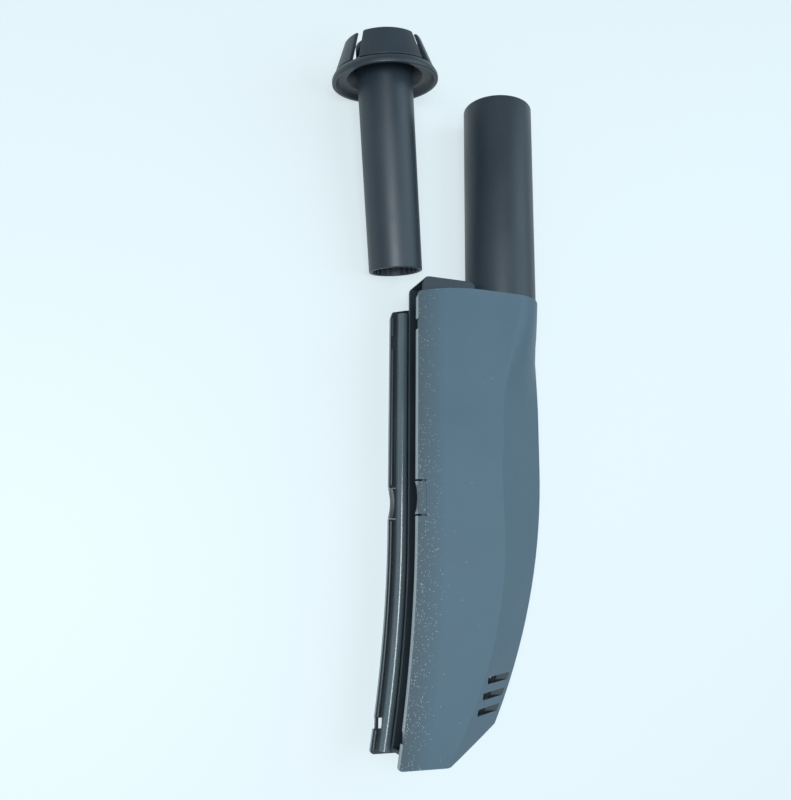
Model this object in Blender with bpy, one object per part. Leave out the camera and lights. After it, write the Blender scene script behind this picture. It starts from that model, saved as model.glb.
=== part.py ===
"""Vacuum-cleaner slot nozzle lying on its far cheek, with its loose plug-in adapter beside it.

Casing axes: X runs from the long open mouth to the curved back, Y along the casing towards
the round neck, Z from the far cheek (which lies on the surface) up to the near cheek. Every
casing shape is worked out there, with zero at the mouth's edge line, the casing's lower end
and the far cheek's outer face. The whole set then hangs on one empty, which puts the origin
on the surface under the middle of the set.
"""

import math

import bmesh
import bpy
from mathutils import Matrix, Vector

MM = 0.001

# Casing, outside
CASING_WIDTH = 41.2 * MM
CASING_LENGTH = 229.2 * MM
WALL = 2.0 * MM
MID = CASING_WIDTH / 2
MOUTH_X = 0.9 * MM
MOUTH_BEND_START = 110.0 * MM
MOUTH_BEND_RADIUS = 715.0 * MM
TOP_ARC_RADIUS = 130.0 * MM
TOP_ARC_CENTRE_X = 37.0 * MM
TOP_ARC_START_X = 2.2 * MM
MOUTH_CORNER_DROP = 3.6 * MM
FOOT_ROUND = 1.8 * MM
RIDGE_X = 79.0 * MM
RIDGE_BEND_START = 140.0 * MM
RIDGE_BEND_RADIUS = 290.0 * MM
CREASE_X = 47.5 * MM
CREASE_TOP_X = 45.5 * MM
CREASE_BEND_START = 105.0 * MM
CREASE_BEND_RADIUS = 193.0 * MM
ROUNDING_START = 166.0 * MM
RIDGE_SOLID = 9.5 * MM
CHAMFER_START_X = 18.6 * MM
CHAMFER_SLOPE = 0.455
SECTION_STEP = 8.0 * MM
BACK_STEPS = 8
OVERRUN = 6.0 * MM

# Mouth: the two ends are open this far back from the mouth's edge
OPEN_END_DEPTH = 7.6 * MM
NOTCH_Y, NOTCH_LENGTH, NOTCH_DEPTH = 204.5 * MM, 5.5 * MM, 0.9 * MM
FOOT_NOTCH_Y, FOOT_NOTCH_LENGTH, FOOT_NOTCH_DEPTH = 11.5 * MM, 5.2 * MM, 1.0 * MM
WINDOW_SETBACK, WINDOW_DEPTH = 2.4 * MM, 2.4 * MM

# Snap tongues, halfway along each cheek's mouth edge
TONGUE_Y, TONGUE_LENGTH, TONGUE_REACH = 113.8 * MM, 15.6 * MM, 4.7 * MM
TONGUE_SCOOP, TONGUE_HOOK, TONGUE_STEPS = 1.2 * MM, 1.4 * MM, 10
SLIT = 0.9 * MM

# Neck tube
NECK_DIAMETER, NECK_BORE = 38.0 * MM, 35.0 * MM
NECK_LENGTH = 114.5 * MM
NECK_X = 57.5 * MM
SPIGOT_DIAMETER, SPIGOT_BORE, SPIGOT_LENGTH = 34.6 * MM, 31.4 * MM, 12.0 * MM
STOP_THICKNESS = 2.0 * MM

# Mouth channel: the inner trough between the cheeks
CHANNEL_SETBACK = 7.2 * MM
CHANNEL_WIDTH, CHANNEL_WALL = 21.0 * MM, 1.7 * MM
CHANNEL_NECK_GAP = 1.0 * MM
CHANNEL_BACK_X = NECK_X - NECK_DIAMETER / 2 - CHANNEL_NECK_GAP
CHANNEL_RISE = 7.4 * MM
CHANNEL_CORNER, CORNER_STEPS = 3.5 * MM, 5
CHANNEL_END_GAP = 0.9 * MM
PASSAGE_Y, PASSAGE_LENGTH, PASSAGE_WIDTH = 110.0 * MM, 90.0 * MM, 14.0 * MM

# Mouth rails: glossy beads inside each cheek
RAIL_SETBACK, RAIL_WIDTH, RAIL_HEIGHT = 3.7 * MM, 6.0 * MM, 3.4 * MM
RAIL_LOW_GAP, RAIL_TOP_GAP, RAIL_STEPS = 1.2 * MM, 5.7 * MM, 10

# Bleed-air vents
VENT_COUNT, VENT_HEIGHT, VENT_PITCH = 3, 3.3 * MM, 7.25 * MM
VENT_FIRST_Y, VENT_FIRST_X = 20.6 * MM, 33.3 * MM
VENT_STEP_X = 2.6 * MM
VENT_TILT = math.radians(1.0)
VENT_FLOOR = 2.6 * MM

# Dowels that locate the half shells
DOWEL_COUNT, DOWEL_FIRST_Y, DOWEL_PITCH = 3, 62.0 * MM, 58.0 * MM
DOWEL_DIAMETER, DOWEL_END_GAP, BOSS_DIAMETER = 3.8 * MM, 4.0 * MM, 7.2 * MM
BOSS_INSET = 6.3 * MM

# Adapter
ADAPTER_DIAMETER, ADAPTER_BORE = 28.3 * MM, 24.8 * MM
ADAPTER_HEAD_DIAMETER = 29.5 * MM
ADAPTER_LENGTH = 121.0 * MM
ADAPTER_X, ADAPTER_STANDOFF = -0.9 * MM, 13.9 * MM
ADAPTER_Y = CASING_LENGTH + ADAPTER_STANDOFF
ADAPTER_HEADING = math.radians(96.9)
RIM_DIAMETER, RIM_POSITION = 56.6 * MM, 101.0 * MM
RING_HEIGHT, RIM_WALL, HUB_RISE = 4.6 * MM, 1.8 * MM, 6.4 * MM
PETAL_COUNT, PETAL_HEIGHT, PETAL_WALL = 4, 16.5 * MM, 2.4 * MM
CROWN_BASE_DIAMETER, CROWN_TOP_DIAMETER = 53.0 * MM, 40.4 * MM
PETAL_SLOT, CROWN_TURN = math.radians(12.0), math.radians(-11.5)
PETAL_FOOT_GAP = 0.6 * MM

# Fits
GAP = 0.3 * MM
EDGE = 0.5 * MM
ROUND_STEPS = 64

NECK_FACE_Y = CASING_LENGTH + GAP


def clear_scene():
    for obj in list(bpy.data.objects):
        bpy.data.objects.remove(obj, do_unlink=True)


def plastic(name, colour, roughness):
    material = bpy.data.materials.new(name)
    material.use_nodes = True
    shader = material.node_tree.nodes["Principled BSDF"]
    shader.inputs["Base Color"].default_value = (*colour, 1.0)
    shader.inputs["Roughness"].default_value = roughness
    shader.inputs["Metallic"].default_value = 0.0
    return material


def add_object(name, mesh, parent, material=None):
    obj = bpy.data.objects.new(name, mesh)
    bpy.context.scene.collection.objects.link(obj)
    obj.parent = parent
    if material is not None:
        mesh.materials.append(material)
    return obj


def add_cutter(name, mesh, parent):
    obj = add_object(name, mesh, parent)
    obj.hide_render = True
    obj.display_type = "WIRE"
    return obj


def boolean(obj, other, operation):
    modifier = obj.modifiers.new(f"{operation.lower()} {other.name}", "BOOLEAN")
    modifier.object = other
    modifier.operation = operation


def mesh_from(name, build):
    """A mesh made by build(bm), with its doubles merged and its faces turned out."""
    mesh = bpy.data.meshes.new(name)
    bm = bmesh.new()
    build(bm)
    bmesh.ops.remove_doubles(bm, verts=bm.verts, dist=0.00001)
    bmesh.ops.recalc_face_normals(bm, faces=bm.faces)
    bm.to_mesh(mesh)
    bm.free()
    mesh.shade_smooth()
    mesh.set_sharp_from_angle(angle=math.radians(32))
    return mesh


def prism(name, outline, low, high):
    """A closed XY outline carried straight from Z low to Z high."""

    def build(bm):
        face = bm.faces.new([bm.verts.new((x, y, low)) for x, y in outline])
        top = bmesh.ops.extrude_face_region(bm, geom=[face])["geom"]
        moved = [item for item in top if isinstance(item, bmesh.types.BMVert)]
        bmesh.ops.translate(bm, verts=moved, vec=(0, 0, high - low))

    return mesh_from(name, build)


def loft(name, sections):
    """Rings of equally many points joined one after the other, with flat ends."""

    def build(bm):
        rings = [[bm.verts.new(point) for point in section] for section in sections]
        for first, second in zip(rings, rings[1:]):
            bridge_rings(bm, first, second)
        bm.faces.new(rings[0])
        bm.faces.new(rings[-1])

    return mesh_from(name, build)


def bridge_rings(bm, first, second):
    for i in range(len(first)):
        j = (i + 1) % len(first)
        bm.faces.new((first[i], first[j], second[j], second[i]))


def turned(name, profile, start=0.0, sweep=2 * math.pi, steps=ROUND_STEPS):
    """A closed (radius, height) profile turned about Z, all the way round or through a sector."""
    whole = math.isclose(sweep, 2 * math.pi)

    def build(bm):
        angles = [start + sweep * i / steps for i in range(steps if whole else steps + 1)]
        rings = [
            [bm.verts.new((r * math.cos(a), r * math.sin(a), z)) for r, z in profile]
            for a in angles
        ]
        for first, second in zip(rings, rings[1:]):
            bridge_rings(bm, first, second)
        if whole:
            bridge_rings(bm, rings[-1], rings[0])
        else:
            bm.faces.new(rings[0])
            bm.faces.new(rings[-1])

    return mesh_from(name, build)


def steps_between(low, high, step):
    count = max(2, math.ceil((high - low) / step))
    return [low + (high - low) * i / count for i in range(count + 1)]


def bend(distance, radius):
    """How far a circular arc has left its tangent after this distance along the tangent."""
    run = max(0.0, distance)
    return radius - math.sqrt(radius * radius - run * run)


def ease(value):
    value = min(1.0, max(0.0, value))
    return value * value * (3 - 2 * value)


def mouth_x(y):
    return MOUTH_X - bend(MOUTH_BEND_START - y, MOUTH_BEND_RADIUS)


def rounding(y):
    """0 where the back has two flat facets, 1 where it is as round as the neck."""
    return ease((y - ROUNDING_START) / (CASING_LENGTH - ROUNDING_START))


def ridge_x(y):
    faceted = RIDGE_X - bend(RIDGE_BEND_START - y, RIDGE_BEND_RADIUS)
    return faceted + (NECK_X + NECK_DIAMETER / 2 + EDGE - faceted) * rounding(y)


def crease_x(y):
    share = (y - CREASE_BEND_START) / (ROUNDING_START - CREASE_BEND_START)
    straight = CREASE_X + (CREASE_TOP_X - CREASE_X) * min(1.0, max(0.0, share))
    faceted = straight - bend(CREASE_BEND_START - y, CREASE_BEND_RADIUS)
    return faceted + (NECK_X - faceted) * rounding(y)


def half_section(y, side, inset):
    """The half casing's outline across Y, moved in by inset; side is 1 near and -1 far."""
    height = MID - inset
    round_share = rounding(y)
    crease, ridge = crease_x(y), ridge_x(y)
    slant = math.hypot(ridge - crease, MID)
    crease -= inset * (slant - (ridge - crease)) / MID * (1 - round_share)
    ridge -= inset * (slant / MID * (1 - round_share) + round_share)
    front = mouth_x(y) - OVERRUN
    points = [(front, 0.0), (front, height)]
    for i in range(BACK_STEPS + 1):
        t = i / BACK_STEPS
        flat = Vector((crease + (ridge - crease) * t, height * (1 - t)))
        turn = t * math.pi / 2
        curved = Vector((crease + (ridge - crease) * math.sin(turn), height * math.cos(turn)))
        points.append(tuple(flat.lerp(curved, round_share)))
    return [(x, y, MID + side * (GAP / 2 + z * (height - GAP / 2) / height)) for x, z in points]


def top_y(x):
    return CASING_LENGTH - bend(TOP_ARC_CENTRE_X - x, TOP_ARC_RADIUS)


def mouth_line(low, high, setback, step=SECTION_STEP):
    return [(mouth_x(y) + setback, y) for y in steps_between(low, high, step)]


def cheek_outline():
    """The casing seen along Z; the back is left wide, because the loft gives it."""
    far_right = RIDGE_X + OVERRUN
    bottom = foot_corner() + [(CHAMFER_START_X, 0.0)]
    bottom.append((far_right, (far_right - CHAMFER_START_X) * CHAMFER_SLOPE))
    top = [(x, top_y(x)) for x in steps_between(TOP_ARC_START_X, TOP_ARC_CENTRE_X, SECTION_STEP)]
    corner_y = top_y(TOP_ARC_START_X) - MOUTH_CORNER_DROP
    mouth = mouth_line(FOOT_ROUND, corner_y, 0.0)[1:]
    return bottom + [(far_right, CASING_LENGTH)] + top[::-1] + mouth[::-1]


def foot_corner():
    """The rounded corner where the mouth's edge meets the casing's lower end."""
    centre_x = mouth_x(FOOT_ROUND) + FOOT_ROUND
    turns = [math.pi / 2 * i / CORNER_STEPS for i in range(CORNER_STEPS + 1)]
    return [(centre_x - FOOT_ROUND * math.cos(a), FOOT_ROUND * (1 - math.sin(a))) for a in turns]


def chamfer_y(x, inset):
    """The lower end's slanted edge, moved into the casing by inset."""
    return (x - CHAMFER_START_X) * CHAMFER_SLOPE + inset * math.hypot(1.0, CHAMFER_SLOPE)


def cavity_outline():
    """The hollow seen along Z: open at the mouth and at the front of both ends."""
    low_corner_x = CHAMFER_START_X - (chamfer_y(CHAMFER_START_X, WALL) - WALL) / CHAMFER_SLOPE
    low_open_x = mouth_x(0.0) + 2 * OPEN_END_DEPTH
    high_open_x = mouth_x(CASING_LENGTH) + OPEN_END_DEPTH
    high_y = CASING_LENGTH - WALL
    left = -4 * OVERRUN
    outline = [(left, -OVERRUN), (low_open_x, -OVERRUN), (low_open_x, WALL), (low_corner_x, WALL)]
    back = [(ridge_x(y) - RIDGE_SOLID, y) for y in steps_between(0.0, high_y, SECTION_STEP)]
    outline.append(chamfer_meets(back))
    outline += [point for point in back if point[1] > outline[-1][1] + SECTION_STEP / 4]
    outline += [(high_open_x, high_y), (high_open_x, high_y + 2 * OVERRUN)]
    return outline + [(left, high_y + 2 * OVERRUN)]


def chamfer_meets(back):
    """Where the inset chamfer runs into the line of back points."""
    for (x0, y0), (x1, y1) in zip(back, back[1:]):
        below = chamfer_y(x0, WALL) - y0
        above = chamfer_y(x1, WALL) - y1
        if below > 0 >= above:
            share = below / (below - above)
            return (x0 + (x1 - x0) * share, y0 + (y1 - y0) * share)
    return back[0]


def along_y(mesh, x, y, z):
    """Turns a shape made along +Z so that it runs along +Y from a point."""
    mesh.transform(Matrix.Translation((x, y, z)) @ Matrix.Rotation(-math.pi / 2, 4, "X"))
    return mesh


def rod(name, radius, length, steps=ROUND_STEPS // 2):
    """A plain closed rod from Z = 0 up, without a hole along its axis."""

    def build(bm):
        bmesh.ops.create_cone(bm, cap_ends=True, segments=steps, radius1=radius, radius2=radius,
                              depth=length, matrix=Matrix.Translation((0, 0, length / 2)))

    return mesh_from(name, build)


def dowel_places():
    for i in range(DOWEL_COUNT):
        y = DOWEL_FIRST_Y + i * DOWEL_PITCH
        yield crease_x(y) - BOSS_INSET + BOSS_DIAMETER / 2, y


def vent_outline(index):
    """One vent slot seen along Z, from near the crease out past the back."""
    x = VENT_FIRST_X + index * VENT_STEP_X
    y = VENT_FIRST_Y + index * VENT_PITCH
    along = Vector((math.cos(VENT_TILT), math.sin(VENT_TILT)))
    across = Vector((-math.sin(VENT_TILT), math.cos(VENT_TILT))) * VENT_HEIGHT
    start, end = Vector((x, y)), Vector((x, y)) + along * RIDGE_X / 2
    return [tuple(start), tuple(end), tuple(end + across), tuple(start + across)]


def box_outline(x0, y0, x1, y1):
    return [(x0, y0), (x1, y0), (x1, y1), (x0, y1)]


def cheek_span(side, depth, above=OVERRUN):
    """The Z range from depth under a cheek's outer face to a little outside it."""
    face = MID + side * MID
    return sorted((face - side * depth, face + side * above))


def build_shell(side, name, parent, material):
    """One half of the casing: cheek, slanted back facet, end walls and bosses."""
    ys = steps_between(-OVERRUN, CASING_LENGTH + OVERRUN, SECTION_STEP)
    outer = loft(name, [half_section(y, side, 0.0) for y in ys])
    shell = add_object(name, outer, parent, material)
    outline = prism(f"{name} outline", cheek_outline(), -OVERRUN, CASING_WIDTH + OVERRUN)
    boolean(shell, add_cutter(f"{name}_outline", outline, parent), "INTERSECT")

    inner = loft(f"{name} hollow", [stretched(half_section(y, side, WALL), side) for y in ys])
    hollow = add_cutter(f"{name}_hollow", inner, parent)
    plan = prism(f"{name} plan", cavity_outline(), -OVERRUN, CASING_WIDTH + OVERRUN)
    boolean(hollow, add_cutter(f"{name}_plan", plan, parent), "INTERSECT")
    boolean(shell, hollow, "DIFFERENCE")

    for i, (x, y) in enumerate(dowel_places()):
        boss_low = MID + side * GAP
        boss = rod(f"{name} boss", BOSS_DIAMETER / 2, MID - WALL / 2 - GAP)
        boss.transform(Matrix.Translation((x, y, boss_low)) @ side_up(side))
        boolean(shell, add_cutter(f"{name}_boss_{i + 1}", boss, parent), "UNION")
        hole = rod(f"{name} hole", DOWEL_DIAMETER / 2 + GAP, MID - DOWEL_END_GAP + GAP + OVERRUN)
        hole.transform(Matrix.Translation((x, y, MID - side * OVERRUN)) @ side_up(side))
        boolean(shell, add_cutter(f"{name}_dowel_hole_{i + 1}", hole, parent), "DIFFERENCE")

    for label, mesh in shell_cuts(side):
        boolean(shell, add_cutter(f"{name}_{label}", mesh, parent), "DIFFERENCE")
    return shell


def stretched(section, side):
    """The hollow's half section carried past the parting plane, so that the cut is clean there."""
    low = MID + side * GAP / 2
    return [(x, y, z - side * OVERRUN if math.isclose(z, low) else z) for x, y, z in section]


def side_up(side):
    return Matrix.Identity(4) if side > 0 else Matrix.Rotation(math.pi, 4, "X")


def shell_cuts(side):
    channel = prism("channel slot", channel_outline(GAP), MID - CHANNEL_WIDTH / 2 - GAP,
                    MID + CHANNEL_WIDTH / 2 + GAP)
    yield "channel_slot", channel
    for i in range(VENT_COUNT):
        floor = MID + side * VENT_FLOOR
        outside = MID + side * (MID + OVERRUN)
        yield f"vent_{i + 1}", prism("vent", vent_outline(i), *sorted((floor, outside)))
    spigot = rod("spigot hole", SPIGOT_DIAMETER / 2 + GAP, SPIGOT_LENGTH + 2 * OVERRUN, ROUND_STEPS)
    yield "spigot_hole", along_y(spigot, NECK_X, CASING_LENGTH - SPIGOT_LENGTH - OVERRUN / 2, MID)
    low, high = cheek_span(side, WALL + OVERRUN / 2)
    slit = SLIT if side > 0 else GAP
    tongue = box_outline(mouth_x(TONGUE_Y) - OVERRUN, TONGUE_Y - slit,
                         mouth_x(TONGUE_Y) + TONGUE_REACH + GAP, TONGUE_Y + TONGUE_LENGTH + slit)
    yield "tongue_slot", prism("tongue slot", tongue, low, high)
    notch = box_outline(mouth_x(NOTCH_Y) - OVERRUN, NOTCH_Y,
                        mouth_x(NOTCH_Y) + NOTCH_DEPTH, NOTCH_Y + NOTCH_LENGTH)
    if side > 0:
        yield "notch", prism("notch", notch, low, high)
    foot_x = mouth_x(FOOT_NOTCH_Y)
    foot = box_outline(foot_x - OVERRUN, FOOT_NOTCH_Y,
                       foot_x + FOOT_NOTCH_DEPTH, FOOT_NOTCH_Y + FOOT_NOTCH_LENGTH)
    yield "foot_notch", prism("foot notch", foot, low, high)
    window_x = foot_x + WINDOW_SETBACK
    window = box_outline(window_x, FOOT_NOTCH_Y,
                         window_x + WINDOW_DEPTH, FOOT_NOTCH_Y + FOOT_NOTCH_LENGTH)
    if side < 0:
        yield "window", prism("window", window, low, high)


def channel_back_x(y):
    """The channel's back: straight, but for its low end, which keeps inside the slanting facet."""
    crease, ridge = crease_x(y), ridge_x(y)
    facet = ridge - (ridge - crease) * (CHANNEL_WIDTH / 2 + GAP) / MID
    wall = (WALL + GAP) * math.hypot(ridge - crease, MID) / MID
    return min(CHANNEL_BACK_X, facet - wall)


def channel_back(inset, grow):
    """The channel's back line, up from the casing's slanted lower end."""
    start = WALL
    for _ in range(BACK_STEPS):
        start = chamfer_y(channel_back_x(start) + grow, inset)
    return [(channel_back_x(y) + grow, y)
            for y in steps_between(start, CREASE_BEND_START, SECTION_STEP)]


def channel_outline(grow):
    """The mouth channel seen along Z, made larger all round by grow."""
    low_y = WALL + CHANNEL_END_GAP - grow
    high_y = CASING_LENGTH + CHANNEL_RISE + grow
    inset = WALL + CHANNEL_END_GAP - grow
    low_corner_x = CHAMFER_START_X - (chamfer_y(CHAMFER_START_X, inset) - low_y) / CHAMFER_SLOPE
    front = mouth_line(low_y, high_y - CHANNEL_CORNER, CHANNEL_SETBACK - grow)
    outline = [(low_corner_x, low_y)] + channel_back(inset, grow)
    outline += corner(CHANNEL_BACK_X + grow, high_y, -1) + corner(front[-1][0], high_y, 1)[::-1]
    return outline + front[::-1]


def corner(x, y, towards):
    """A round corner at (x, y) whose arc runs from its upright side to its level side."""
    turns = [math.pi / 2 * i / CORNER_STEPS for i in range(CORNER_STEPS + 1)]
    centre_x, centre_y = x + towards * CHANNEL_CORNER, y - CHANNEL_CORNER
    arc = [(centre_x - towards * CHANNEL_CORNER * math.cos(a),
            centre_y + CHANNEL_CORNER * math.sin(a)) for a in turns]
    return arc if towards < 0 else arc[1:]


def build_channel(parent, material):
    low, high = MID - CHANNEL_WIDTH / 2, MID + CHANNEL_WIDTH / 2
    mesh = prism("mouth_channel", channel_outline(0.0), low, high)
    channel = add_object("mouth_channel", mesh, parent, material)
    trough = [(x - OVERRUN, y) for x, y in mouth_line(
        WALL + CHANNEL_END_GAP + CHANNEL_WALL, CASING_LENGTH + CHANNEL_RISE - CHANNEL_WALL,
        CHANNEL_SETBACK)]
    back = CHANNEL_BACK_X - CHANNEL_WALL
    inset = WALL + CHANNEL_END_GAP + CHANNEL_WALL
    low_corner_x = CHAMFER_START_X - (chamfer_y(CHAMFER_START_X, inset) - trough[0][1]) / CHAMFER_SLOPE
    trough = (trough[::-1] + [(low_corner_x, trough[0][1])]
              + channel_back(inset, -CHANNEL_WALL) + [(back, trough[-1][1])])
    hollow = prism("trough", trough, low + CHANNEL_WALL, high - CHANNEL_WALL)
    boolean(channel, add_cutter("mouth_channel_hollow", hollow, parent), "DIFFERENCE")
    passage = box_outline(back - OVERRUN, PASSAGE_Y,
                          CHANNEL_BACK_X + OVERRUN, PASSAGE_Y + PASSAGE_LENGTH)
    opening = prism("passage", passage, MID - PASSAGE_WIDTH / 2, MID + PASSAGE_WIDTH / 2)
    boolean(channel, add_cutter("mouth_channel_passage", opening, parent), "DIFFERENCE")
    return channel


def build_neck(parent, material):
    outer, bore = NECK_DIAMETER / 2, NECK_BORE / 2
    spigot, throat = SPIGOT_DIAMETER / 2, SPIGOT_BORE / 2
    profile = [(outer, 0.0), (outer, NECK_LENGTH - EDGE), (outer - EDGE, NECK_LENGTH),
               (bore + EDGE, NECK_LENGTH), (bore, NECK_LENGTH - EDGE), (bore, STOP_THICKNESS),
               (throat, STOP_THICKNESS), (throat, -SPIGOT_LENGTH), (spigot, -SPIGOT_LENGTH),
               (spigot, 0.0)]
    neck = add_object("neck_tube", turned("neck_tube", profile), parent, material)
    neck.location = (NECK_X, NECK_FACE_Y, MID)
    neck.rotation_euler = (-math.pi / 2, 0.0, 0.0)
    return neck


def build_rail(side, name, parent, material):
    """A round-topped bead inside one cheek, at an even distance from the mouth's edge."""
    base = MID + side * (MID - WALL - GAP)
    turns = [math.pi * i / RAIL_STEPS for i in range(RAIL_STEPS + 1)]
    sections = []
    for y in steps_between(RAIL_LOW_GAP, CASING_LENGTH - RAIL_TOP_GAP, SECTION_STEP):
        centre = mouth_x(y) + RAIL_SETBACK + RAIL_WIDTH / 2
        sections.append([(centre - RAIL_WIDTH / 2 * math.cos(a), y,
                          base - side * (EDGE + (RAIL_HEIGHT - EDGE) * math.sin(a))) for a in turns])
        foot = [(centre + RAIL_WIDTH / 2, y, base), (centre - RAIL_WIDTH / 2, y, base)]
        sections[-1] += foot
    return add_object(name, loft(name, sections), parent, material)


def build_tongue(side, name, parent, material):
    """A springy finger in a cheek's mouth edge, with a hook under its free end."""
    root_x = mouth_x(TONGUE_Y) + TONGUE_REACH
    hinge = bpy.data.objects.new(f"{name}_hinge", None)
    bpy.context.scene.collection.objects.link(hinge)
    hinge.parent = parent
    hinge.location = (root_x, TONGUE_Y + TONGUE_LENGTH / 2, MID + side * (MID - WALL / 2))
    sections = []
    for y in steps_between(-TONGUE_LENGTH / 2, TONGUE_LENGTH / 2, TONGUE_LENGTH / TONGUE_STEPS):
        share = 2 * y / TONGUE_LENGTH
        front = -TONGUE_REACH + TONGUE_SCOOP * (1 - share * share)
        lip = front + TONGUE_HOOK
        up, down = side * WALL / 2, -side * WALL / 2
        hook = down - side * TONGUE_HOOK
        sections.append([(front, y, up), (0.0, y, up), (0.0, y, down), (lip, y, down),
                         (lip, y, hook), (front, y, hook + side * TONGUE_HOOK / 2)])
    return add_object(name, loft(name, sections), hinge, material)


def build_dowel(index, place, parent, material):
    length = CASING_WIDTH - 2 * DOWEL_END_GAP
    mesh = rod(f"dowel_{index + 1}", DOWEL_DIAMETER / 2, length)
    dowel = add_object(f"dowel_{index + 1}", mesh, parent, material)
    dowel.location = (*place, DOWEL_END_GAP)
    return dowel


def adapter_tilt():
    """The adapter lies on its tube's lower end and on its rim, so the rim end is higher."""
    return math.asin((RIM_DIAMETER - ADAPTER_DIAMETER) / 2 / RIM_POSITION)


def build_adapter(parent, finish):
    tilt = adapter_tilt()
    axis = bpy.data.objects.new("adapter_axis", None)
    bpy.context.scene.collection.objects.link(axis)
    axis.parent = parent
    axis.location = (ADAPTER_X, ADAPTER_Y, ADAPTER_DIAMETER / 2 * math.cos(tilt))
    axis.rotation_euler = (0.0, math.pi / 2 - tilt, ADAPTER_HEADING)

    foot, head, bore = ADAPTER_DIAMETER / 2, ADAPTER_HEAD_DIAMETER / 2, ADAPTER_BORE / 2
    tube = [(foot - EDGE, 0.0), (foot, EDGE), (head, RIM_POSITION), (head, ADAPTER_LENGTH - EDGE),
            (head - EDGE, ADAPTER_LENGTH), (bore + EDGE, ADAPTER_LENGTH),
            (bore, ADAPTER_LENGTH - EDGE), (bore, EDGE), (bore + EDGE, 0.0)]
    add_object("adapter_tube", turned("adapter_tube", tube), axis, finish["smooth"])

    rim, top = RIM_DIAMETER / 2, RIM_POSITION + RING_HEIGHT
    hub = head + GAP
    step = CROWN_BASE_DIAMETER / 2 - PETAL_WALL - GAP
    ring = [(rim - EDGE, RIM_POSITION), (rim, RIM_POSITION + EDGE),
            (rim, RIM_POSITION + RING_HEIGHT / 2), (CROWN_BASE_DIAMETER / 2 + EDGE, top),
            (step - RIM_WALL, top), (hub + RIM_WALL, top + HUB_RISE), (hub, top + HUB_RISE),
            (hub, top + HUB_RISE - RIM_WALL), (step - 2 * RIM_WALL, top - RIM_WALL),
            (rim - 2 * RIM_WALL, top - RIM_WALL), (rim - RIM_WALL, RIM_POSITION)]
    add_object("adapter_ring", turned("adapter_ring", ring), axis, finish["smooth"])
    for i in range(PETAL_COUNT):
        build_petal(i, axis, top + PETAL_FOOT_GAP, finish["smooth"])
    return axis


def build_petal(index, axis, base, material):
    """One finger of the slotted crown, turned about the adapter's axis, hinged at its foot."""
    pitch = 2 * math.pi / PETAL_COUNT
    heading = math.pi + CROWN_TURN + index * pitch
    foot, tip = CROWN_BASE_DIAMETER / 2, CROWN_TOP_DIAMETER / 2
    profile = [(foot, 0.0), (tip + EDGE, PETAL_HEIGHT - 2 * EDGE), (tip - EDGE, PETAL_HEIGHT),
               (tip - PETAL_WALL + EDGE, PETAL_HEIGHT), (foot - PETAL_WALL, 0.0)]
    sweep = pitch - PETAL_SLOT
    name = f"petal_{index + 1}"
    mesh = turned(name, profile, -sweep / 2, sweep, ROUND_STEPS // PETAL_COUNT)
    hinge = bpy.data.objects.new(f"{name}_hinge", None)
    bpy.context.scene.collection.objects.link(hinge)
    hinge.parent = axis
    hinge_radius = foot - PETAL_WALL / 2
    hinge.rotation_euler = (0.0, 0.0, heading)
    hinge.location = (hinge_radius * math.cos(heading), hinge_radius * math.sin(heading), base)
    mesh.transform(Matrix.Translation((-hinge_radius, 0.0, 0.0)))
    return add_object(name, mesh, hinge, material)


def rest_on_origin(root):
    """Moves the set so that the origin is under the middle of its box, on the surface."""
    bpy.context.view_layer.update()
    graph = bpy.context.evaluated_depsgraph_get()
    solids = [obj for obj in bpy.data.objects if obj.type == "MESH" and not obj.hide_render]
    corners = []
    for obj in solids:
        evaluated = obj.evaluated_get(graph)
        corners += [evaluated.matrix_world @ vertex.co for vertex in evaluated.data.vertices]
    low = [min(corner[axis] for corner in corners) for axis in range(3)]
    high = [max(corner[axis] for corner in corners) for axis in range(3)]
    root.location = (-(low[0] + high[0]) / 2, -(low[1] + high[1]) / 2, -low[2])
    bpy.context.view_layer.update()


def main():
    clear_scene()
    finish = {
        "matte": plastic("textured slate plastic", (0.085, 0.150, 0.190), 0.55),
        "smooth": plastic("smooth charcoal plastic", (0.045, 0.060, 0.075), 0.35),
        "gloss": plastic("glossy black plastic", (0.020, 0.025, 0.028), 0.12),
        "pin": plastic("pale pin plastic", (0.300, 0.300, 0.290), 0.50),
    }
    root = bpy.data.objects.new("set_on_surface", None)
    bpy.context.scene.collection.objects.link(root)
    for side, label in ((1, "near"), (-1, "far")):
        build_shell(side, f"{label}_shell", root, finish["matte"])
        build_rail(side, f"{label}_rail", root, finish["gloss"])
        build_tongue(side, f"{label}_tongue", root, finish["matte"])
    build_channel(root, finish["smooth"])
    build_neck(root, finish["smooth"])
    for i, place in enumerate(dowel_places()):
        build_dowel(i, place, root, finish["pin"])
    build_adapter(root, finish)
    rest_on_origin(root)


main()
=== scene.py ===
"""Finished look of a vacuum-cleaner slot nozzle and its loose plug-in adapter.

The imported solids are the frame. The half shells are refined from their own solids, the turned
pieces and the mouth rails are made again with finer steps on the same sizes, and small moulded
details are added inside the same box. Lengths are in metres, with the row's own origin: +Z up,
+Y towards the neck, and the long mouth open towards -X.
"""

import logging
import math
from dataclasses import dataclass, field
from enum import Enum
from typing import Callable, Optional, Sequence

import bmesh
import bpy
from mathutils import Matrix, Vector


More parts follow.
